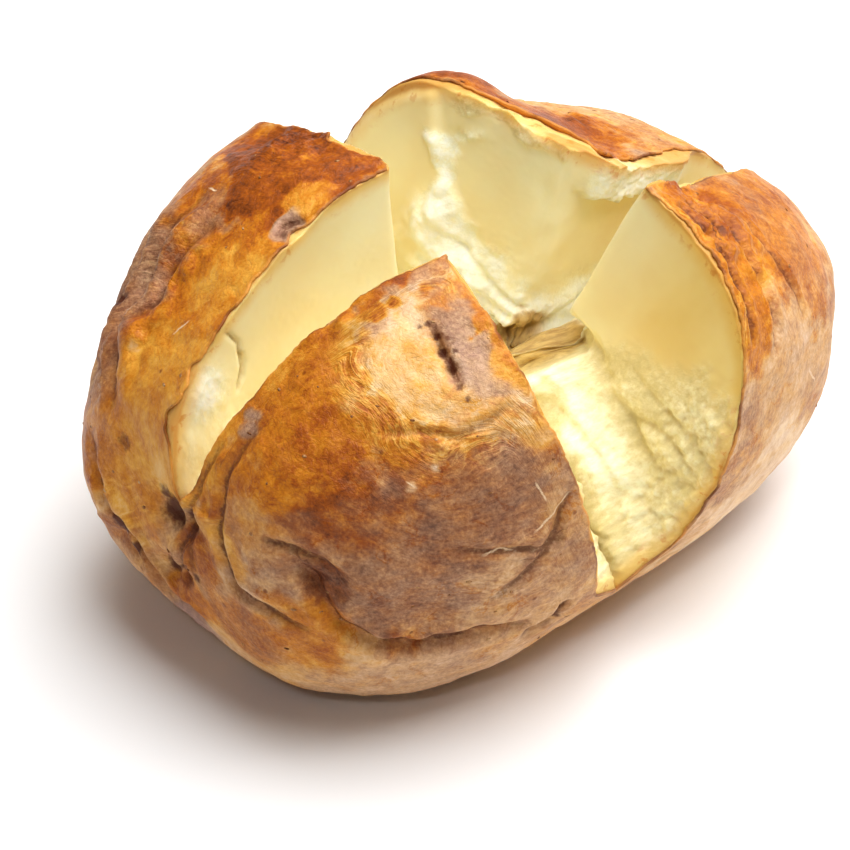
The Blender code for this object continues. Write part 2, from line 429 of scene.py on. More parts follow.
# The cut faces. The knife went in above these heights, and below them the flesh tore as it was pushed open.
# Each half's tear rises from the core to the skin: (height at the core, rise for each mm outwards).
KNIFE_DEPTH = {(LONG, -1): (35, 0.10), (LONG, 1): (40, 0.05), (CROSS, -1): (37, 0.42), (CROSS, 1): (42, 0.22)}
TEAR_EDGE = 5.0
TEAR_LUMP, TEAR_LUMP_HEIGHT = 9.0, 0.8
TEAR_GRAIN, TEAR_GRAIN_HEIGHT = 1.5, 0.45
KNIFE_WAVE, KNIFE_WAVE_HEIGHT = 16.0, 0.35
STRAND_LENGTH, STRAND_WIDTH, STRAND_HEIGHT = 22.0, 5.5, 1.7  # strands along the tear

# Faces with a place of their own that tore: cut, half, side.
TORN_STRIP = (CROSS, 1, 1)  # a strip of clots, from the skin down to the floor
TORN_LEDGE = (LONG, 1, 1)  # a fringed ledge under the skin
TORN_KNOB = (LONG, -1, 1)  # a soft lump at the skin's edge
ROLLED_HALF, ROLL_HEIGHT = (CROSS, -1), 7.4  # a mealy roll on both faces, that high over the floor
# How golden each face is coloured, from 0 to 1, more so towards the skin and higher up. The rest are
# GOLDEN_ELSEWHERE.
GOLDEN_FACES = {(CROSS, -1, 1): 1.0, TORN_LEDGE: 0.3, TORN_KNOB: 0.1, TORN_STRIP: 0.1}
GOLDEN_ELSEWHERE = 0.45
STRIP_OUT, STRIP_HEIGHT, STRIP_LEAN = 14.8, 42.0, 0.58  # a place on its middle line, and how that leans
STRIP_TOP, STRIP_PINCH, SPUR_OUT = 58.5, 51.0, 19.5
BROW_DEPTH, BROW_LENGTH = 4.0, 27.0
LEDGE_DEPTH, LEDGE_REACH = 6.6, 2.5
KNOB_OUT, KNOB_HEIGHT = 38.5, 45.0
CRACK_OUT, CRACK_HEIGHT, CRACK_WIDTH = 31.3, 47.5, 0.45


def beyond_strip(out, height):
    """How far out from the strip's middle line, which leans outwards."""
    return out - STRIP_OUT - (height - STRIP_HEIGHT) * STRIP_LEAN


def strip_share(out, height, points):
    beyond = beyond_strip(out, height) - 2.4 * noise_field(points, 8, 15, 3)
    width = 2.2 + np.clip(58 - height, 0, 30) * 0.3 + 1.8 * noise_field(points, 5, 16, 3)
    width = np.maximum(width, 0.3) * (1 - 0.6 * bell(height - STRIP_PINCH, 4.5))
    clots = falling(np.abs(beyond) / width, 1.7, 1.4) * falling(height, STRIP_TOP, 3)
    spur = bell(out - SPUR_OUT, 3.0) * bell(height - STRIP_TOP + 0.5 * (out - SPUR_OUT), 1.3)
    return np.maximum(clots, 0.8 * spur) * rising(height, 30, 6)


def brow_share(out, points, depth):
    """The rough flesh just under the bared corner's top."""
    wander = 2.2 * noise_field(points, 5, 21, 3)
    return falling(depth - wander, BROW_DEPTH, 1.6) * falling(out, BROW_LENGTH, 6)


def ledge_share(out, points, depth):
    fringe = 1.7 * noise_field(points, (1.5, 1.0, 5.0), 17, 2) + 1.2 * noise_field(points, 6, 18, 2)
    return falling(depth - fringe, LEDGE_DEPTH, 0.9) * rising(out, 2, 5) * falling(out, 34, 8)


def knob_share(out, height):
    return bell(out - KNOB_OUT, 4.0) * bell(height - KNOB_HEIGHT, 5.0)


def crack_share(out, height):
    """A thin crack that runs down beside the knob."""
    line = CRACK_OUT + 1.6 * ((height - CRACK_HEIGHT) / 5) ** 2
    return bell(out - line, CRACK_WIDTH) * rising(height, 42, 2) * falling(height, 54, 2)


def torn_share(points, face, depth):
    """From 0 on the knife's part of a cut face to 1 where the flesh tore."""
    core, slope = KNIFE_DEPTH[face[:2]]
    out, height = np.abs(points[:, 1 - face[0]]), points[:, 2]
    torn = falling(height - slope * out - 4 * noise_field(points, 9, 3), core + TEAR_EDGE, 2 * TEAR_EDGE)
    if face == TORN_STRIP:
        torn = np.maximum(torn * falling(out, 20, 3), strip_share(out, height, points))
        torn = np.maximum(torn, 0.8 * brow_share(out, points, depth))
    if face == TORN_LEDGE:
        torn = np.maximum(torn, ledge_share(out, points, depth))
    if face == TORN_KNOB:
        torn = np.maximum(torn * rising(out, 4, 12), knob_share(out, height))
        torn = np.maximum(torn, 0.8 * crack_share(out, height))
    return torn


def cut_shift(points, cut):
    """How far a cut wanders from its plane. It's the same for both of its faces, which were one place."""
    return noise_field(points, KNIFE_WAVE, 5 if cut == LONG else 6) * KNIFE_WAVE_HEIGHT


def face_lumps(points, face, depth):
    """How torn one face is, how far its clots, strands and grains stand out, and how pale it is painted:
    whiter on crests, with painted shade in valleys.
    """
    cut, half, side = face
    torn = torn_share(points, face, depth)
    out, height = np.abs(points[:, 1 - cut]), points[:, 2]
    seed = 11 + 2 * side + 3 * half + (5 if cut == LONG else 0)
    over_floor = cut_height(points, cut)
    fan = over_floor / (0.6 + out / 35)
    along = np.stack((out / STRAND_LENGTH, fan / STRAND_WIDTH, np.full(len(out), 3.7 * seed)), axis=1)
    core, slope = KNIFE_DEPTH[cut, half]
    below = falling(height - slope * out, core + 2, 11)
    strands = np.clip(np.abs(noise_field(along, 1.0, seed, 2)) * 2.6, 0, 1)
    grain = np.abs(noise_field(points, TEAR_GRAIN, seed, 2))
    clot = np.maximum(noise_field(points, 5, seed + 20, 2), 0)
    rough = noise_field(points, TEAR_LUMP, seed + 40, 2) * TEAR_LUMP_HEIGHT + grain * TEAR_GRAIN_HEIGHT
    rough += (strands * STRAND_HEIGHT + clot * 1.3) * below
    stand_out = torn * rough + (1 - torn) * grain * 0.05
    # The crest value pales the torn flesh on its crests and darkens it in its valleys and near the floor:
    # partly the flesh's own tone, partly painted shade.
    crest_and_shade = 0.45 + 0.45 * (strands - 0.35) * below + 0.3 * noise_field(points, 3, seed + 60, 3) + 0.2 * clot
    if face == TORN_STRIP:
        strip = strip_share(out, height, points)
        fluff = 0.8 + noise_field(points, 7, 22, 2) * 1.7 + noise_field(points, 2.6, 24, 2) * 0.4
        step = rising(beyond_strip(out, height), -1.25, 2.5)
        stand_out += strip * fluff + 1.1 * step * rising(height, 30, 8)
        crest_and_shade += (0.5 + 0.4 * falling(height, 54, 10)) * strip + 0.5 * falling(height, 47, 6)
    if (cut, half) == ROLLED_HALF:
        middle = ROLL_HEIGHT + 1.2 * noise_field(points, 6, 19, 2)
        start = rising(out, 3.2, 1.6) * falling(out, 29, 12)
        ridge = bell(over_floor - middle, 2.5) * start
        valley = bell(over_floor - middle - 4.6, 1.8) * start * torn
        mealy = rising(out, 18, 8)
        stand_out = 0.55 * stand_out + 2.8 * ridge - 0.6 * valley
        stand_out += 0.6 * torn * mealy * noise_field(points, 1.3, 26, 2)
        crest_and_shade = 0.45 * crest_and_shade + 0.04 + 0.5 * ridge - 0.12 * valley + 0.1 * mealy
        crest_and_shade -= 0.5 * falling(over_floor, 6, 4)
    if face == TORN_LEDGE:
        ledge = ledge_share(out, points, depth)
        stand_out += LEDGE_REACH * ledge
        crest_and_shade += 0.8 * ledge + 0.6 * falling(height, 44, 5)
    if face == TORN_KNOB:
        crack = crack_share(out + 0.5 * noise_field(points, 2.5, 27, 2), height)
        stand_out += 0.5 * knob_share(out, height) - 0.8 * crack
        crest_and_shade += 0.7 * knob_share(out, height) - crack
    return torn, stand_out, np.clip(crest_and_shade, 0, 1)


flesh = Surface()
ends = {(cut, half): cut_end(cut, half) for cut in (LONG, CROSS) for half in (-1, 1)}


def edge_turns(cut, half):
    fine = np.linspace(0, ends[cut, half], WALL_ROWS + 1)
    steps = math.ceil((2 - ends[cut, half]) / COARSE_STEP)
    return np.concatenate((fine, np.linspace(ends[cut, half], 2, steps + 1)[1:]))


BARED_QUARTER = (1, 1)  # its corner lost its skin, with a little of the flesh
BARED_WIDTH, BARED_LENGTH = 8.6, 20.0


def bared_width(along):
    """How far the skin is drawn back from the bared quarter's cross cut, that far out along the cut."""
    return BARED_WIDTH * np.exp(-((np.abs(along) / BARED_LENGTH) ** 3))


def from_cut(points, cut):
    """Distance from the open part of a cut, or far below its floor."""
    return np.where(cut_height(points, cut) > 0, np.abs(points[:, cut]), FAR)


def flesh_depth(points, quarter):
    """How deep the flesh's outside lies: near the skin at the open cuts, and out of sight elsewhere."""
    from_cross = from_cut(points, CROSS)
    width = bared_width(points[:, 1]) if quarter == BARED_QUARTER else np.zeros(len(points))
    hidden = rising(np.minimum(from_cross - width, from_cut(points, LONG)), 2.5, 3)
    depth = FLESH_DEPTH + (HIDDEN_DEPTH - FLESH_DEPTH) * hidden
    if quarter == BARED_QUARTER:
        bared = falling(from_cross - width, 2, 2) * rising(width, 0, 3)
        depth += bared * (0.45 + 0.5 * noise_field(points, 5, 41, 3))
    return depth


def under_skin(rays, quarter):
    return skin_points(rays) - flesh_depth(plain_points(rays), quarter)[:, None] * rays


def cut_wall(cut, half, side):
    """One cut face: rows from the skin's edge to the core line, one point longer each, down to the floor."""
    quarter = quarter_of(cut, half, side)
    edge = under_skin(meridian_rays(edge_turns(cut, half)[: WALL_ROWS + 1], cut, half), quarter)
    edge[:, cut] = 0
    core_top = under_skin(np.array([[0.0, 0.0, 1.0]]), quarter)[0, 2]
    root = np.array((0, 0, FLOOR_CENTRE))

    def name(row, column):
        if row == 0:
            return ("top", quarter)
        if column == 0:
            return (cut, half, side if row < WALL_ROWS else 0, row)
        if row == WALL_ROWS:
            return ("root",) if column == row else (cut, "floor", half, column)
        return ("core", quarter, row) if column == row else (cut, half, side, row, column)

    names, points, triangles = [], [], []
    for row in range(WALL_ROWS + 1):
        share = row / WALL_ROWS
        core = np.array((0, 0, core_top + (FLOOR_CENTRE - core_top) * share))
        step = np.linspace(0, 1, row + 1)[:, None]
        line = edge[row] + (core - edge[row]) * step
        line[:, 2] -= share**2 * cut_height(edge[-1] + (root - edge[-1]) * step, cut)
        points.append(line)
        names += [name(row, column) for column in range(row + 1)]
        above = row * (row + 1) // 2 + np.arange(row + 1)
        below = above[0] + row + 1 + np.arange(row + 2)
        if row < WALL_ROWS:
            triangles.append(np.stack((above, below[:-1], below[1:]), axis=1))
            triangles.append(np.stack((above[:-1], below[1:-1], above[1:]), axis=1))
    numbers = flesh.add(names, np.concatenate(points), quarter)
    flesh.join(numbers[np.concatenate(triangles)], (half * side > 0) == (cut == LONG))


def band_places(quarter):
    """Closer points on a quarter's unit square, where its flesh shows beside the skin's edge."""
    along = np.arange(0.5, 200) / 110
    found = []
    for end, order in ((ends[LONG, quarter[0]], 1), (ends[CROSS, quarter[1]], -1)):
        turns = along[along < end]
        for offset in (0.008, 0.018, 0.03, 0.045):
            place = np.stack((np.minimum(turns, 1 - offset), np.maximum(turns - 1, offset)), axis=1)
            found.append(place[:, ::order])
    if quarter == BARED_QUARTER:
        steps = np.stack(np.meshgrid(np.arange(0.055, 0.5, 0.009), np.arange(0.055, 0.24, 0.009)), -1)
        found.append(steps.reshape(-1, 2)[:, ::-1])
    places = np.concatenate(found)
    kept = [places[0]]
    for place in places[1:]:
        if np.abs(np.array(kept) - place).sum(axis=1).min() > 0.006:
            kept.append(place)
    return np.array(kept)


def flesh_under_skin(quarter):
    side_x, side_y = quarter
    long_turns, cross_turns = edge_turns(LONG, side_x), edge_turns(CROSS, side_y)
    places, faces = coarse_quarter(long_turns, cross_turns, band_places(quarter))
    names = edge_names(LONG, side_x, side_y, len(long_turns))
    names += edge_names(CROSS, side_y, side_x, len(cross_turns))[1:-1]
    points = under_skin(folded_rays(*places.T, quarter), quarter)
    points[: len(long_turns), 1] = 0
    points[len(long_turns) : len(names), 0] = 0
    names += [("under skin", quarter, number) for number in range(len(places) - len(names))]
    flesh.join(flesh.add(names, points, quarter)[faces], side_x * side_y < 0)


for quarter in QUARTERS:
    cut_wall(LONG, *quarter)
    cut_wall(CROSS, *quarter[::-1])
    flesh_under_skin(quarter)

CORE_FADE = 2.5  # how far one cut's shifts reach along the other cut's faces
RIM_FADE = 2.0
CORE_HOLE = 7.0  # how deep the hollow is where the two cuts' floors meet
# Each quarter's corner at the core: how far off it is worn, how deep the hollow bites into it, the height
# where that bite starts, how fast it deepens, and where it ends.
CORNERS = {
    (1, -1): (2.4, 2.8, 41.5, 2.5, 34.5),
    (1, 1): (9.0, 2.4, 36.5, 1.6, 28.0),
    (-1, 1): (2.0, 1.5, 35.0, 1.6, 28.0),
    (-1, -1): (2.0, 1.5, 35.0, 1.6, 28.0),
}


def depth_under_skin(points):
    rays = points - MIDDLE
    return np.linalg.norm(plain_points(rays) - MIDDLE, axis=1) - np.linalg.norm(rays, axis=1)


def with_tears(points, sides):
    """The flesh's points moved off the two cut planes, and the attributes that its finish reads."""
    moved, torn, crest_and_shade = points.copy(), np.zeros(len(points)), np.full(len(points), 0.5)
    golden = np.full(len(points), GOLDEN_ELSEWHERE)
    depth = depth_under_skin(points)
    for face in [(cut, half, side) for cut in (LONG, CROSS) for half in (-1, 1) for side in (-1, 1)]:
        cut, half, side = face
        mine = (np.abs(points[:, cut]) < 4 * CORE_FADE) & (sides[:, cut] == side)
        mine &= by_side(points[:, 1 - cut], (-1, 1)) == half
        flat, off_plane = points[mine], np.abs(points[mine, cut])
        flat[:, cut] = 0
        fade = np.exp(-off_plane / CORE_FADE)
        inside = 1.0 if face == TORN_LEDGE else rising(depth[mine], 0, RIM_FADE)
        tears, lumps, crests_and_shade = face_lumps(flat, face, depth[mine])
        lumps = lumps * rising(cut_height(flat, cut), 0, 4) * inside * side
        moved[mine, cut] += fade * (cut_shift(flat, cut) - lumps)
        crest_and_shade[mine] += (crests_and_shade - crest_and_shade[mine]) * fade
        torn[mine] = np.maximum(torn[mine], tears * fade)
        tone = GOLDEN_FACES.get(face, GOLDEN_ELSEWHERE)
        tone = tone * rising(np.abs(flat[:, 1 - cut]), -1.8, 18) * rising(flat[:, 2], 28, 24)
        golden[mine] += (tone - golden[mine]) * np.exp(-off_plane / (0.4 * CORE_FADE))
    x, y, height = points.T
    from_core = np.hypot(x, y)
    over_floor = height - FLOOR_CENTRE
    sink = np.clip(1 - over_floor / 9, 0, 1) * rising(height, 12, 8)
    moved[:, 2] -= CORE_HOLE * bell(x - 4, 6) * bell(y + 1, 5) * sink
    brink_wander = 1.5 * noise_field(points, 3, 23, 2)
    from_hollow = ((x - 2.5) / 5.0) ** 2 + (y / by_side(y, (3.6, 0.8))) ** 2
    low = falling(height - brink_wander, 38.5, 3)
    crumbs = np.stack([noise_field(points, 2.4, seed, 3) for seed in (43, 44, 45)], axis=1)
    moved += 1.1 * np.clip(1.5 * np.exp(-0.6 * from_hollow) * low, 0, 1)[:, None] * crumbs
    for quarter, (worn, bite, brink, deepening, lowest) in CORNERS.items():
        mine = (sides == quarter).all(axis=1)
        wide = worn * (1 + 0.15 * noise_field(points[mine], 7, 25, 2))
        corner = wide / 4 * np.clip(1 - from_core[mine] / wide, 0, 1) ** 2
        under = falling(height - brink_wander, brink, deepening)[mine] * rising(height[mine], lowest, 3)
        inwards = (corner + bite * bell(from_core[mine], 6.5) * under) * rising(over_floor[mine], 0, 3)
        moved[mine, :2] += inwards[:, None] * np.array(quarter)
    # Painted shade: the hole where the two cuts' floors meet is coloured darker, standing in for its shadow.
    hollow_shade = np.clip(1.8 * np.exp(-from_hollow) * low, 0, 1)
    return moved, {"torn": torn, "crest_and_shade": crest_and_shade, "depth": depth, "golden": golden, "hollow_shade": hollow_shade}


rest, sides, faces = flesh.arrays()
torn_rest, looks = with_tears(rest, sides)
flesh_piece = mesh_object("potato_flesh", opened(torn_rest, sides), faces, rest=rest, **looks)


class Value:
    """A node's output. Signs of arithmetic make the math nodes that work on it."""

    def __init__(self, recipe, socket):
        self.recipe, self.socket = recipe, socket

    def __add__(self, other):
        return self.recipe.math("ADD", self, other)

    def __sub__(self, other):
        return self.recipe.math("SUBTRACT", self, other)

    def __rsub__(self, other):
        return self.recipe.math("SUBTRACT", other, self)

    def __mul__(self, other):
        return self.recipe.math("MULTIPLY", self, other)

    def __truediv__(self, other):
        return self.recipe.math("DIVIDE", self, other)

    def __abs__(self):
        return self.recipe.math("ABSOLUTE", self)

    def beside(self, label):
        """Another output of the same node."""
        return Value(self.recipe, self.socket.node.outputs[label])


class Recipe:
    """Adds nodes to a tree. An input is a plain value or another node's output."""

    def __init__(self, tree):
        self.tree = tree

    def feed(self, node, inputs):
        for label, value in inputs.items():
            if isinstance(value, Value):
                self.tree.links.new(value.socket, node.inputs[label])
            else:
                node.inputs[label].default_value = value

    def add(self, kind, inputs, output=0, **settings):
        made = self.tree.nodes.new(kind)
        for label, value in settings.items():
            setattr(made, label, value)
        self.feed(made, inputs)
        return Value(self, made.outputs[output]) if len(made.outputs) else None

    def attribute(self, label, output="Fac"):
        return self.add("ShaderNodeAttribute", {}, output, attribute_name=label)

    def math(self, operation, first, second=0.0):
        return self.add("ShaderNodeMath", {0: first, 1: second}, operation=operation)

    def noise(self, vector, size, detail=3.0, roughness=0.55, distortion=0.0):
        """Noise with features of that size, about 0.5 on average."""
        inputs = {"Vector": vector, "Scale": 1 / size, "Detail": detail, "Roughness": roughness}
        return self.add("ShaderNodeTexNoise", {**inputs, "Distortion": distortion}, "Fac")

    def remap(self, value, low, high, to_low=0.0, to_high=1.0):
        inputs = {"Value": value, "From Min": low, "From Max": high, "To Min": to_low, "To Max": to_high}
        return self.add("ShaderNodeMapRange", inputs, interpolation_type="SMOOTHSTEP")

    def vein(self, value, width):
        """1 where the noise crosses its middle, and 0 more than that width away."""
        return self.remap(abs(value - 0.5), 0.0, width, 1.0, 0.0)

    def ramp(self, value, stops):
        """A colour that changes along the stops, which are a value and a colour each."""
        made = self.add("ShaderNodeValToRGB", {"Fac": value}, "Color")
        elements = made.socket.node.color_ramp.elements
        while len(elements) < len(stops):
            elements.new(0.5)
        for element, (position, *colour) in zip(elements, stops):
            element.position = position
            element.color = paint(colour)
        return made

    def mix(self, share, first, second, blend="MIX"):
        inputs = {0: share, 6: paint(first), 7: paint(second)}
        return self.add("ShaderNodeMix", inputs, 2, data_type="RGBA", blend_type=blend)

    def principled(self, specular, colour, rough, height, strength, distance):
        """Joins a finish's colour, roughness and fine relief to its Principled shader."""
        shader = self.tree.nodes["Principled BSDF"]
        bump = {"Height": height, "Strength": strength, "Distance": distance * MM}
        normal = self.add("ShaderNodeBump", bump, "Normal")
        self.feed(shader, {"Specular IOR Level": specular, "Base Color": colour})
        self.feed(shader, {"Roughness": rough, "Normal": normal})
        return shader


def paint(colour):
    """A colour given as it looks, from 0 to 255, in the linear values that a shader takes."""
    if isinstance(colour, Value):
        return colour
    looks = np.array(colour) / 255
    linear = np.where(looks <= 0.04045, looks / 12.92, ((looks + 0.055) / 1.055) ** 2.4)
    return (*linear.tolist(), 1.0)


# A ragged mask, which both finishes use: the amount given, with its edge broken up by noise of one size.
ragged_group = bpy.data.node_groups.new("ragged_mask", "ShaderNodeTree")
for label, kind in (("Amount", "Float"), ("Position", "Vector"), ("Scale", "Float"), ("Softness", "Float")):
    ragged_group.interface.new_socket(label, in_out="INPUT", socket_type="NodeSocket" + kind)
ragged_group.interface.new_socket("Mask", in_out="OUTPUT", socket_type="NodeSocketFloat")
inside = Recipe(ragged_group)
given = inside.add("NodeGroupInput", {}).beside
inputs = {"Vector": given("Position"), "Scale": given("Scale"), "Detail": 4.0, "Roughness": 0.6}
breaking = inside.add("ShaderNodeTexNoise", inputs, "Fac")
amount, half_soft = given("Amount"), given("Softness") * 0.5
broken = (breaking * 4.8 - 2.4) * amount * (1.0 - amount) + amount
inside.add("NodeGroupOutput", {"Mask": inside.remap(broken, 0.5 - half_soft, half_soft + 0.5)})


def ragged_mask(recipe, amount, position, size, softness=0.8):
    inputs = {"Amount": amount, "Position": position, "Scale": 1 / size, "Softness": softness}
    return recipe.add("ShaderNodeGroup", inputs, "Mask", node_tree=ragged_group)


def new_material(name):
    material = bpy.data.materials.new(name)
    material.use_nodes = True
    return material, Recipe(material.node_tree)


flesh_finish, recipe = new_material("potato_flesh")
place = recipe.attribute("rest", "Vector")
deep = recipe.attribute("depth")
torn_mask = ragged_mask(recipe, recipe.attribute("torn"), place, 2.5, 0.9)
clouds = recipe.noise(place, 14, 3.0, 0.5)
grains = recipe.noise(place, 1.1, 4.0, 0.65)
cloudy, grainy = recipe.remap(clouds, 0.35, 0.65), recipe.remap(grains, 0.35, 0.65)
cream = recipe.mix(cloudy, (250, 239, 192), (247, 232, 178))
waxy = recipe.mix(cloudy, (241, 216, 140), (235, 204, 122))
cream = recipe.mix(recipe.attribute("golden"), cream, waxy)
# The torn flesh's colour follows the crest value: whiter on crests and darker in valleys, which is partly
# painted shade.
torn_stops = ((0.0, 210, 192, 130), (0.35, 229, 212, 154), (0.65, 250, 241, 198), (1.0, 255, 254, 234))
pale = recipe.ramp((grains - 0.5) * 1.2 + recipe.attribute("crest_and_shade"), torn_stops)
colour = recipe.mix(torn_mask * 0.9, cream, pale)
wander = recipe.noise(place, 4) * 2.4 - 1.2
near_skin = recipe.remap(deep + wander, 0.3, 3.5, 1.0, 0.0)
colour = recipe.mix(near_skin * 0.75, colour, (232, 184, 78))
flecks = recipe.remap(recipe.noise(place, 2.2, 4.0, 0.65), 0.56, 0.66) * near_skin
colour = recipe.mix(flecks * 0.8, colour, (212, 140, 52))
toasted = recipe.remap(deep + wander * 0.5, 0.1, 0.9, 1.0, 0.0)
colour = recipe.mix(toasted * 0.7, colour, (206, 138, 52))
# Painted shade in the hole at the core: a darker brown where its shadow falls.
hollow_shade_mask = recipe.remap(recipe.attribute("hollow_shade"), 0.1, 1.0, 0.0, 0.9)
colour = recipe.mix(hollow_shade_mask, colour, recipe.mix(grainy, (160, 118, 44), (206, 168, 84)))
rough = recipe.remap(grains, 0.3, 0.7, 0.45, 0.6) + torn_mask * 0.25
meal = recipe.noise(place, 0.45, 2.0)
height = (grains * 0.6 + meal * 0.3) * recipe.remap(torn_mask, 0.0, 1.0, 0.06, 1.0) + clouds * 0.2
shader = recipe.principled(0.35, colour, rough, height, 0.45, 0.6)
shader.inputs["Subsurface Weight"].default_value = 0.6
shader.inputs["Subsurface Radius"].default_value = (1.0, 0.9, 0.7)
shader.inputs["Subsurface Scale"].default_value = 1.6 * MM

flesh_piece.data.materials.append(flesh_finish)
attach(flesh_piece, "root")
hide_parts("baked_potato")

# ---------------------------------------------------------------------------------------------------
# The skin. It is a leathery sheet about half a millimetre thick, grown on the flesh and dried in the
# oven. Each cut parted it, and its edges shrank back a little, curled and browned.
# ---------------------------------------------------------------------------------------------------
SKIN_CELLS = 146
SKIN_THICKNESS = 0.5
INNER_STEP = 4
INNER_SINK = 3.5  # how far the skin's hidden inner side lies below its folds, away from the cuts
EDGE_STEP = 0.5  # how deep its edge is stepped where it tore unevenly
EDGE_STEPS = {(-1, 1): 1.7}
EDGE_FADE = 7.0  # how far in from a cut its drawn-back edge squeezes the skin
EDGE_ROUNDING = 0.22  # how far the middle of its rounded edge stands out
BARED_FADE = 14.0

# Pale scratches: each one's line of azimuths and elevations.
SCARS = (
    ((-117, 11), (-113, 12), (-110, 10)), ((-104, 13), (-99, 16), (-92, 20)), ((-131, 31), (-129, 30)),
    ((-100, 26), (-99, 20)), ((168, 30), (166, 26)), ((130, 48), (127, 46)), ((-52, 20), (-48, 14)),
    ((60, 30), (64, 24)),
)

# Raised bits of the skin's edge, for each quarter: azimuth, elevation, half width and height.
EDGE_LIFTS = {
    (-1, 1): ((93, 71, 3.4, 0.6), (178, 17, 1.5, 0.5)),
    (-1, -1): ((-172, 60, 1.3, 1.0), (-95, 66, 3.0, 0.5)),
    (1, -1): ((-60, 74, 3.0, 0.7), (-80, 50, 3.0, 0.5)),
    (1, 1): ((80, 66, 3.0, 0.9), (20, 62, 3.0, 0.7)),
}

# How the oven coloured the skin: azimuth, elevation, half width, toast from pale 0 to burnt 1, and warmth
# from grey-brown 0 to orange 1. A later zone lies over an earlier one.
PLAIN_TOAST, PLAIN_WARMTH = 0.36, 0.42
ZONES = (
    # The front quarter.
    (-118, 6, 25, 0.57, 0.28), (-106, 27, 13, 0.55, 0.3), (-104, -7, 12, 0.38, 0.3),
    (-118, -15, 8, 0.36, 0.35), (-94, 15, 5, 0.42, 0.4), (-92, 40, 5, 0.42, 0.65), (-126, 26, 11, 0.6, 0.35),
    (-127, 38, 7, 0.6, 0.6), (-146, 26, 9, 0.66, 0.6), (-151, 28, 5, 0.8, 0.9), (-134, -34, 16, 0.3, 0.18),
    (-170, 14, 8, 0.44, 0.6),
    (-174, 12, 2.5, 0.66, 0.8), (-168, 6, 4, 0.3, 0.7), (-165, 42, 13, 0.46, 1.35), (-158, 33, 8, 0.52, 0.95),
    (-149, 46, 8, 0.52, 0.85), (-150, 35, 5, 0.64, 1.2), (-132, 44, 6, 0.6, 0.9), (-115, 46, 6, 0.46, 0.75),
    (-118, 62, 11, 0.14, 0.42), (-135, 56, 6.5, 0.2, 0.65), (-103, 48, 6, 0.3, 0.6), (-94, 71, 6, 0.46, 0.3),
    (-98, 60, 6, 0.4, -0.15), (-95, 80, 4.5, 0.5, 0.5), (-92, 54, 3, 0.4, 0.7), (-172, 56, 4, 0.32, 1.3),
    (-163, 66, 1.9, 0.6, 1.7), (-157, 71, 1, 0.6, 1.7), (-171, 24, 5, 0.62, 0.9), (-174, 31, 2.5, 0.46, -0.2),
    (-165, -10, 6, 0.58, 0.6), (-130, 30, 0.8, 0.25, 0.2), (-124, 34, 0.6, 0.28, 0.2),
    (-101, 13, 0.6, 0.3, 0.2), (-152, -6, 7, 0.52, 0.9), (-148, 7, 4, 0.8, 0.4), (-136, -9, 3, 0.7, 0.7),
    # The left quarter.
    (148, 44, 20, 0.6, 1.1), (172, 42, 8, 0.44, 1.3), (136, 27, 11, 0.58, 0.25), (138, 48, 7, 0.58, 0.45),
    (158, 3, 10, 0.53, 0.85), (150, 13, 7, 0.55, 0.4), (172, 19, 9, 0.42, 2.2), (170, 0, 7, 0.46, 0.85),
    (174, 9, 7, 0.40, 1.6), (176, 5, 2.5, 0.2, 1.4), (112, 58, 11, 0.84, 1.9), (100, 66, 10, 0.86, 1.9),
    (132, 59, 7, 0.88, 1.6), (150, 69, 8, 0.8, 1.5), (169, 67, 4, 0.42, 1.1), (110, 78, 6, 0.76, 1.3),
    (173, 59, 2.6, 0.36, -0.15), (160, -18, 8, 0.36, 0.4), (163, -14, 4, 0.6, 0.5), (-174, -2, 4, 0.6, 0.8),
    (-176, -13, 4, 0.56, 1.3), (-178, -22, 4, 0.42, -0.4),
    # The back and the right quarters.
    (8, 40, 20, 0.40, 0.5), (38, 64, 10.5, 0.73, 1.4), (16, 66, 6, 0.6, 1.0), (2, 34, 7, 0.45, 0.95),
    (-45, 28, 24, 0.32, 0.36), (-22, 46, 14, 0.53, 0.7), (-45, 2, 9, 0.38, 0.45), (-58, 70, 8, 0.53, 1.25),
    (-64, 58, 6, 0.46, 0.95), (-30, 70, 8, 0.6, 1.0), (-76, 60, 6, 0.5, 1.25), (-78, 50, 5, 0.5, 1.2),
    (-82, 40, 4, 0.55, 1.0), (-5, 74, 4, 0.66, 1.1), (-60, -14, 15, 0.12, 0.35), (92, 22, 15, 0.52, 0.45),
    (62, 8, 12, 0.62, 0.25), (112, -2, 10, 0.36, 0.7), (20, 0, 12, 0.42, 0.3), (0, -22, 12, 0.56, 0.3),
    (75, 44, 8, 0.7, 0.9),
)
# Dark spots: the eyes' own dark colour, and painted shade in pits and folds. Azimuth, elevation, half width
# and how dark.
DARK_SPOTS = (
    (-120, 61, 1, 1), (-116, 57, 1, 0.8), (-117, 59, 0.8, 0.8), (-114, 52, 0.6, 0.8), (-123, 65, 0.8, 1),
    (-128, 68, 0.7, 0.9), (-112, 49, 0.7, 0.9), (-114, 61, 0.6, 0.8), (-133, 67, 0.6, 0.8),
    (174, 59, 0.9, 0.5), (170, 60, 0.7, 0.4), (179, 0, 2.4, 1), (-177, 2, 1.7, 0.9), (179, -10, 1.4, 1),
    (-177, -9, 1.3, 0.9),
    (-174, -7, 0.8, 0.8), (164, -12, 1.7, 1), (168, -15, 1.4, 0.9), (140, 20, 1.6, 0.8), (176, 3, 1.1, 0.7),
    (166, 5, 1.2, 0.5), (-150, 7, 1.6, 0.6), (-104, -20, 1.6, 0.8),
)

skin = Surface()


def spot_share(points, azimuth, elevation, half_width, wander, softness):
    distance = distance_to(points, azimuth, elevation) / half_width - wander
    return falling(distance, 1 + softness / 2, softness)


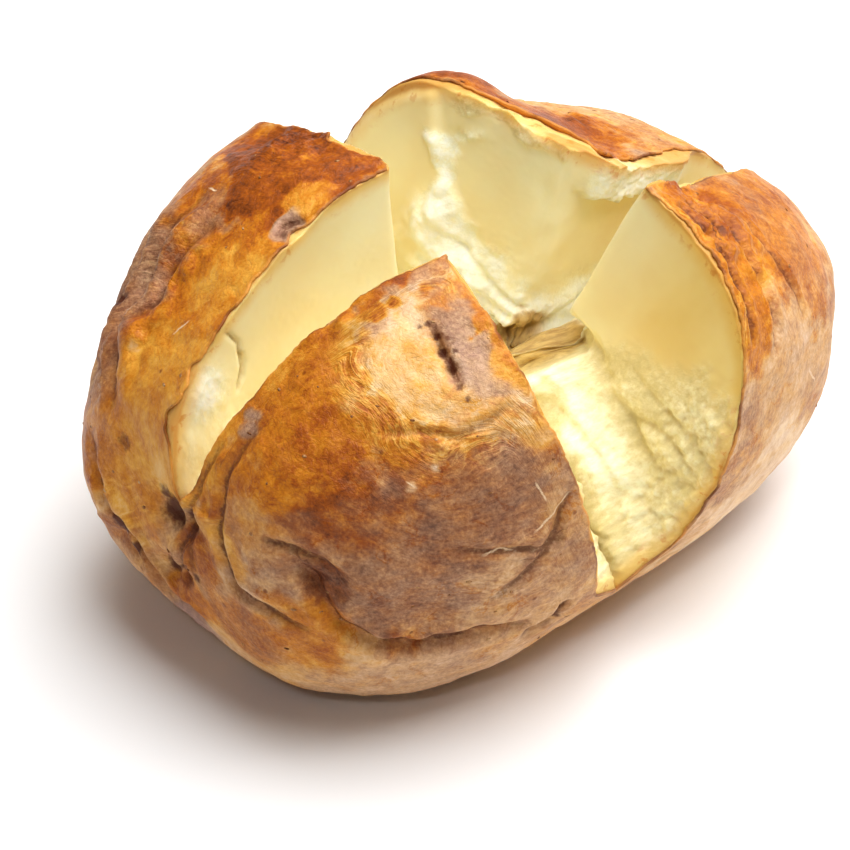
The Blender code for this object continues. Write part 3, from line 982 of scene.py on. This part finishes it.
def spot_mask(points, spots, seed):
    """The strongest of the spots at each point, with its edge wandering."""
    wander = 0.45 * noise_field(points, 4, seed, 3)
    shares = [amount * spot_share(points, *spot, wander, 0.9) for *spot, amount in spots]
    return np.max(shares, axis=0)


def toast_and_warmth(points):
    wander = 0.45 * noise_field(points, 9, 81, 4) + 0.3 * noise_field(points, 2.5, 82, 3)
    toast = PLAIN_TOAST + 0.2 * noise_field(points, 15, 83, 3)
    warmth = PLAIN_WARMTH + 0.35 * noise_field(points, 18, 84, 3)
    for *spot, zone_toast, zone_warmth in ZONES:
        share = spot_share(points, *spot, wander, 0.6)
        toast += share * (zone_toast - toast)
        warmth += share * (zone_warmth - warmth)
    return toast, warmth


def drawn_back(points, quarter):
    """Skin points moved back from the open cuts, and each one's distance from the skin's edge."""
    moved = points.copy()
    for cut in (CROSS, LONG):
        flat, off_plane = points.copy(), np.abs(points[:, cut])
        flat[:, cut] = 0
        seed = 60 + 2 * quarter[0] + quarter[1] + 7 * cut
        steps = rising(0.4 + 2.5 * noise_field(flat, 9, seed, 2)) * EDGE_STEPS.get(quarter, EDGE_STEP)
        ragged_edge = steps + np.abs(noise_field(flat, 2.2, seed + 20, 3)) * 0.5
        shift = ragged_edge * np.exp(-off_plane / EDGE_FADE)
        if quarter == BARED_QUARTER and cut == CROSS:
            wander = 1 + 0.25 * noise_field(flat, 7, 51, 2)
            shift += bared_width(points[:, 1]) * wander * np.exp(-off_plane / BARED_FADE)
        moved[:, cut] += quarter[cut] * shift * rising(cut_height(points, cut), 0, 3)
    return moved, np.minimum(from_cut(points, CROSS), from_cut(points, LONG))


def skin_layer(layer, depth, quarter, rows, columns, faces):
    plain = plain_points(folded_rays(rows / SKIN_CELLS, columns / SKIN_CELLS, quarter))
    # Each point's side of both cuts, or 0 where a cut hasn't parted the skin.
    on_cross = (rows == 0) | (columns == SKIN_CELLS)
    on_long = (columns == 0) | (rows == SKIN_CELLS)
    label_x = np.where(on_cross & (cut_height(plain, CROSS) <= 0), 0, quarter[0])
    label_y = np.where(on_long & (cut_height(plain, LONG) <= 0), 0, quarter[1])
    moved, from_edge = drawn_back(plain, quarter)
    rays = unit(moved - MIDDLE)
    places = plain_points(rays)
    curl = np.maximum(0.1 + 0.6 * noise_field(places, 5, 71, 2), 0) * 0.35 * np.exp(-from_edge / 1.2)
    for *spot, lift in EDGE_LIFTS[quarter]:
        curl += lift * near_spots(places, spot) * np.exp(-from_edge / 2.5)
    if layer == "inner":
        depth = depth + INNER_SINK * rising(from_edge, 0.8, 3.5)
    points = skin_points(rays) + (curl - depth)[:, None] * rays
    labels = zip(label_x.tolist(), label_y.tolist(), rows.tolist(), columns.tolist())
    numbers = skin.add([(layer, *label) for label in labels], points, quarter)
    skin.join(numbers[faces], (quarter[0] * quarter[1] < 0) != (layer == "inner"))


def grid_faces(count):
    number = np.arange((count + 1) ** 2).reshape(count + 1, count + 1)
    a, b, c, d = number[:-1, :-1], number[1:, :-1], number[1:, 1:], number[:-1, 1:]
    triangles = np.stack((np.stack((a, b, d), -1), np.stack((b, c, d), -1)), axis=2)
    return triangles.reshape(-1, 3)


rows, columns = (grid.ravel() for grid in np.mgrid[0 : SKIN_CELLS + 1, 0 : SKIN_CELLS + 1])
for quarter in QUARTERS:
    skin_layer("outer", 0.0, quarter, rows, columns, grid_faces(SKIN_CELLS))
for quarter in QUARTERS:
    turns = {}
    for cut, half in ((LONG, quarter[0]), (CROSS, quarter[1])):
        steps = np.arange(2 * SKIN_CELLS + 1)
        heights = cut_height(plain_points(meridian_rays(steps / SKIN_CELLS, cut, half)), cut)
        kept = (steps <= np.argmax(heights <= 0)) | (steps % INNER_STEP == 0) | (steps == 2 * SKIN_CELLS)
        turns[cut] = steps[kept] / SKIN_CELLS
    places, faces = coarse_quarter(turns[LONG], turns[CROSS], step=0.03)
    skin_layer("inner", SKIN_THICKNESS, quarter, *np.round(places * SKIN_CELLS).astype(int).T, faces)

# The edge is rounded: between the outer and the inner side runs one more line of points, nearer the gap.
rest, sides, faces = skin.arrays()
names = list(skin.numbers)
outer_faces = faces[[names[face[0]][0] == "outer" for face in faces]]
edges = outer_faces[:, [[0, 1], [1, 2], [2, 0]]].swapaxes(0, 1).reshape(-1, 2)
_, first, counts = np.unique(np.sort(edges, axis=1), axis=0, return_index=True, return_counts=True)
rim = edges[first[counts == 1]]
middle_of, facing_of = {}, {}
for number in np.unique(rim).tolist():
    layer, label_x, label_y, row, column = names[number]
    on_cross = label_x != 0 and (row == 0 or column == SKIN_CELLS)
    on_long = label_y != 0 and (column == 0 or row == SKIN_CELLS)
    facing_of[number] = skin.numbers[("inner", *names[number][1:])]
    towards_gap = np.array((-label_x * on_cross, -label_y * on_long, 0)) * EDGE_ROUNDING
    point = (rest[number] + rest[facing_of[number]]) / 2 + towards_gap
    quarter = tuple(sides[number].astype(int))
    middle_of[number] = skin.add([("edge", *names[number][1:])], [point], quarter)[0]
for first, second in rim.tolist():
    middle_1, middle_2 = middle_of[first], middle_of[second]
    inner_1, inner_2 = facing_of[first], facing_of[second]
    strip = ((second, first, middle_1), (second, middle_1, middle_2))
    skin.join(np.array((*strip, (middle_2, middle_1, inner_1), (middle_2, inner_1, inner_2))))
rest, sides, faces = skin.arrays()

plain = plain_points(rest - MIDDLE)
near_edge = np.zeros(len(rest))
near_edge[[*middle_of, *middle_of.values(), *facing_of.values()]] = 1
toast, warmth = toast_and_warmth(plain)
crease_lines = [(min(depth / half_width, 1) * 0.9, line) for half_width, depth, lip, line in CREASES]
crease_side, crease = line_marks(plain, crease_lines)
scar_side, scar = line_marks(plain, [(1.0, line) for line in SCARS])
looks = {"toast": toast, "warmth": warmth, "dark": spot_mask(plain, DARK_SPOTS, 89), "edge": near_edge}
looks.update({"crease": crease, "crease_side": crease_side, "scar": scar, "scar_side": scar_side})
looks.update({"path": wrinkle_path(plain), "bands": wrinkle_bands(plain)})
patchy = rising(0.5 + 2 * noise_field(plain, 12, 93))
looks["specked"] = (1 - near_edge) * rising(toast, 0.2, 0.3) * patchy
skin_piece = mesh_object("potato_skin", opened(rest, sides), faces, rest=rest, **looks)

skin_finish, recipe = new_material("baked_skin")
place = recipe.attribute("rest", "Vector")
broad = recipe.noise(place, 9, 4.0, 0.6)
blotches = recipe.noise(place, 2.8, 5.0, 0.62, 0.5)
fine = recipe.noise(place, 0.6, 4.0, 0.65)
bands = recipe.attribute("bands")
across_x = recipe.add("ShaderNodeSeparateXYZ", {"Vector": place}, "X")
across_yz = across_x.beside("Y") + across_x.beside("Z")


def streaks_along(width, length):
    """Noise in streaks along the wrinkles' lines."""
    inputs = {"X": recipe.attribute("path") / width, "Y": across_x / length, "Z": across_yz / length}
    return recipe.noise(recipe.add("ShaderNodeCombineXYZ", inputs), 1.0, 3.0, 0.6, 0.3)


hairs = streaks_along(0.4, 3.0)
puckers = recipe.vein(streaks_along(1.2, 7.0), 0.1) * bands
leather = recipe.vein(recipe.noise(place, 1.7, 3.0, 0.6, 0.8), 0.1)
few = recipe.remap(recipe.noise(place, 6, 1.0), 0.5, 0.62)
veins = recipe.vein(recipe.noise(place, 8, 5.0, 0.6, 0.4), 0.02) * few
warm_zone = recipe.remap(recipe.attribute("warmth"), 0.0, 1.0)
grainy = (recipe.attribute("toast") * 0.8 + 0.3) * (warm_zone * -0.45 + 1.0)
toast = (blotches - 0.5) * (warm_zone * 0.25 + 0.7) * 0.62 + recipe.attribute("toast")
toast = (broad - 0.5) * 0.45 + (hairs - 0.5) * (bands * 0.35 + 0.1) + (fine - 0.5) * grainy + toast
toast = toast - puckers * 0.2 + leather * 0.03 + veins * 0.1
stretched = {"Vector": place, "Scale": (1.0, 1.0, 1.7)}
hue_noise = recipe.noise(recipe.add("ShaderNodeMapping", stretched, vector_type="POINT"), 5, 5.0, 0.65)
warmth = (hue_noise - 0.5) * 1.1 + recipe.attribute("warmth") + veins * 0.25
warmth_share = recipe.remap(warmth, 0.0, 1.0)
cool_stops = ((0, 244, 212, 180), (0.3, 208, 164, 124), (0.5, 168, 124, 94), (0.7, 126, 88, 66))
warm_stops = ((0, 250, 214, 150), (0.3, 234, 168, 62), (0.5, 206, 124, 26), (0.7, 164, 80, 14))
cool = recipe.ramp(toast, (*cool_stops, (1, 70, 47, 38)))
warm = recipe.ramp(toast, (*warm_stops, (1, 84, 34, 10)))
colour = recipe.mix(warmth_share, cool, warm)
colour = recipe.mix(recipe.remap(warmth, -0.45, 0.05, 0.4, 0.0), colour, (176, 142, 138))
edge = ragged_mask(recipe, recipe.attribute("edge"), place, 1.5, 1.2)
edge_colour = recipe.mix(recipe.remap(broad, 0.42, 0.6), (222, 150, 66), (118, 62, 28))
colour = recipe.mix(edge * 0.75, colour, edge_colour)
pores = recipe.add("ShaderNodeTexVoronoi", {"Vector": place, "Scale": 1 / 3.6}, "Distance")
freckles = recipe.remap(pores, 0.05, 0.15, 0.7, 0.0) * few
colour = recipe.mix(freckles, colour, (150, 92, 56), "MULTIPLY")


def line_mask(label, half_width, wander):
    """A line along a pair of attributes, of that half width in mm and broken up by noise."""
    shaken = (blotches - 0.5) * wander + recipe.attribute(label + "_side")
    near = recipe.remap(abs(shaken), 0.4 * half_width, half_width, 1.0, 0.0)
    return near * recipe.attribute(label) * recipe.remap(fine, 0.3, 0.55, 0.5, 1.0)


# The creases are painted dark: partly the skin's own browning in its folds, partly painted shade in them.
crease_brown_and_shade_mask = line_mask("crease", 0.7, 2.0)
dark = ragged_mask(recipe, recipe.attribute("dark"), place, 1.2)
colour = recipe.mix(line_mask("crease", 1.6, 3.0) * 0.4, colour, (150, 84, 46))
colour = recipe.mix(crease_brown_and_shade_mask * 0.85, colour, (88, 42, 22))
# The dark spots: the eyes' own dark colour, and painted shade in the pits and folds.
colour = recipe.mix(dark * 0.93, colour, (84, 34, 14))
colour = recipe.mix(line_mask("scar", 0.22, 1.2), colour, (240, 206, 164))
rough = (blotches - 0.5) * 0.3 + warmth_share * -0.14 + 0.56
height = (bands * 0.4 + 0.15) * hairs + puckers * 0.3 - leather * 0.12 + fine * 0.4
height = height + blotches * 0.9 + freckles * 0.25 - crease_brown_and_shade_mask * 0.5
recipe.principled(0.22, colour, rough, height, 0.6, 0.5)

skin_piece.data.materials.append(skin_finish)
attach(skin_piece, "root")
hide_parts("baked_potato")

# ---------------------------------------------------------------------------------------------------
# The skin's specks. They are its breathing pores, which dried into small corky lens shapes. They grow in
# the skin and stand a little proud of it, more of them where it is toasted, and none on its cut edges.
# ---------------------------------------------------------------------------------------------------


def strewn(name, surface, share, values, finish):
    """Small closed lumps over a piece, as thick as its share attribute says, as one plain mesh."""
    tree = bpy.data.node_groups.new(name, "GeometryNodeTree")
    tree.interface.new_socket("Surface", in_out="INPUT", socket_type="NodeSocketGeometry")
    for label, value in values.items():
        kind = {int: "NodeSocketInt", float: "NodeSocketFloat", tuple: "NodeSocketVector"}[type(value)]
        tree.interface.new_socket(label, in_out="INPUT", socket_type=kind)
    tree.interface.new_socket("Lumps", in_out="OUTPUT", socket_type="NodeSocketGeometry")
    recipe = Recipe(tree)
    given = recipe.add("NodeGroupInput", {}).beside
    amount = recipe.add("GeometryNodeInputNamedAttribute", {"Name": share}, data_type="FLOAT")
    inputs = {"Mesh": given("Surface"), "Density Factor": amount, "Density Max": given("Per square metre")}
    inputs.update({"Distance Min": given("Spacing"), "Seed": given("Seed")})
    spread = recipe.add("GeometryNodeDistributePointsOnFaces", inputs, distribute_method="POISSON")
    lump = recipe.add("GeometryNodeMeshIcoSphere", {"Subdivisions": given("Rounds"), "Radius": 1.0})
    sizes = {0: given("Smallest"), 1: given("Largest"), "Seed": given("Seed")}
    size = recipe.add("FunctionNodeRandomValue", sizes, data_type="FLOAT_VECTOR")
    inputs = {"Points": spread, "Instance": lump, "Rotation": spread.beside("Rotation"), "Scale": size}
    lumps = recipe.add("GeometryNodeInstanceOnPoints", inputs)
    lumps = recipe.add("GeometryNodeRealizeInstances", {"Geometry": lumps})
    inputs = {"Vector": recipe.add("GeometryNodeInputPosition", {}), "Scale": given("Waves"), "Detail": 2.0}
    waves = recipe.add("ShaderNodeTexNoise", inputs, "Color")
    centred = recipe.add("ShaderNodeVectorMath", {0: waves, 1: (0.5, 0.5, 0.5)}, operation="SUBTRACT")
    inputs = {0: centred, "Scale": given("Unevenness")}
    offset = recipe.add("ShaderNodeVectorMath", inputs, operation="SCALE")
    lumps = recipe.add("GeometryNodeSetPosition", {"Geometry": lumps, "Offset": offset})
    lumps = recipe.add("GeometryNodeSetMaterial", {"Geometry": lumps, "Material": finish})
    recipe.add("NodeGroupOutput", {"Lumps": lumps})
    piece = bpy.data.objects.new(name, surface.data.copy())
    bpy.context.scene.collection.objects.link(piece)
    modifier = piece.modifiers.new(name, "NODES")
    modifier.node_group = tree
    for item in tree.interface.items_tree:
        if item.in_out == "INPUT" and item.name in values:
            modifier[item.identifier] = values[item.name]
    mesh = bpy.data.meshes.new_from_object(piece.evaluated_get(bpy.context.evaluated_depsgraph_get()))
    piece.modifiers.clear()
    piece.data = mesh
    mesh.shade_smooth()
    return piece


speck_finish, recipe = new_material("cork_specks")
place = recipe.add("ShaderNodeTexCoord", {}, "Object")
grains = recipe.noise(place, 0.5 * MM)
tone = (grains - 0.5) * 0.8 + recipe.noise(place, 3 * MM)
colour = recipe.ramp(tone, ((0.3, 104, 60, 34), (0.5, 158, 106, 64), (0.7, 206, 162, 112)))
recipe.principled(0.1, colour, recipe.remap(grains, 0.3, 0.7, 0.5, 0.75), grains, 0.5, 0.2)

speck_values = {
    "Rounds": 1,
    "Spacing": 3.0 * MM,
    "Per square metre": 3.0e4,
    "Seed": 8,
    "Smallest": (0.22 * MM, 0.16 * MM, 0.05 * MM),
    "Largest": (0.55 * MM, 0.3 * MM, 0.11 * MM),
    "Waves": 1500.0,
    "Unevenness": 0.25 * MM,
}
speck_piece = strewn("skin_specks", skin_piece, "specked", speck_values, speck_finish)
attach(speck_piece, "root")
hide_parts("baked_potato")

# ---------------------------------------------------------------------------------------------------
# Table, light and camera. The potato stands on a pale table under one broad soft light from above, and
# a narrow one brightens the back quarter's torn face.
# ---------------------------------------------------------------------------------------------------


def aimed(name, data, place, target):
    placed = bpy.data.objects.new(name, data)
    bpy.context.scene.collection.objects.link(placed)
    placed.location = place
    placed.rotation_euler = (Vector(target) - placed.location).to_track_quat("-Z", "Y").to_euler()
    return placed


bpy.ops.mesh.primitive_plane_add(size=6)
table = bpy.context.object
table.name = "table"
table_finish = new_material("table")[0]
shader = table_finish.node_tree.nodes["Principled BSDF"]
shader.inputs["Base Color"].default_value = (0.96, 0.955, 0.95, 1)
shader.inputs["Roughness"].default_value = 0.7
table.data.materials.append(table_finish)

world = bpy.data.worlds.new("studio")
bpy.context.scene.world = world
world.use_nodes = True
sky = world.node_tree.nodes["Background"].inputs
sky["Color"].default_value = (1, 1, 1, 1)
sky["Strength"].default_value = 0.07
bpy.context.scene.view_settings.view_transform = "Standard"

key = bpy.data.lights.new("key", "AREA")
key.size = 1.05
key.energy = 19.0
aimed("key", key, (0.287, -0.033, 0.90), (0, 0, 0.03))
spot = bpy.data.lights.new("spot", "SPOT")
spot.spot_size = math.radians(7)
spot.spot_blend = 1.0
spot.shadow_soft_size = 0.12
spot.energy = 27.0
aimed("spot", spot, (-0.50, -0.40, 0.85), (0.012, 0.020, 0.048))

CAMERA_AZIMUTH = -40.3
CAMERA_ELEVATION = 40.2
CAMERA_DISTANCE = 741.5
CAMERA_TARGET = np.array((-16.6, -7.6, 35.4)) + SEAT
CAMERA_ROLL = 0.76
lens = bpy.data.cameras.new("camera")
lens.lens = 214.4
lens.sensor_width = 36
back = direction(CAMERA_AZIMUTH - 90, CAMERA_ELEVATION)
camera = aimed("camera", lens, (CAMERA_TARGET + CAMERA_DISTANCE * back) * MM, CAMERA_TARGET * MM)
roll = Matrix.Rotation(math.radians(CAMERA_ROLL), 3, "Z")
camera.rotation_euler = (camera.rotation_euler.to_matrix() @ roll).to_euler()
bpy.context.scene.camera = camera
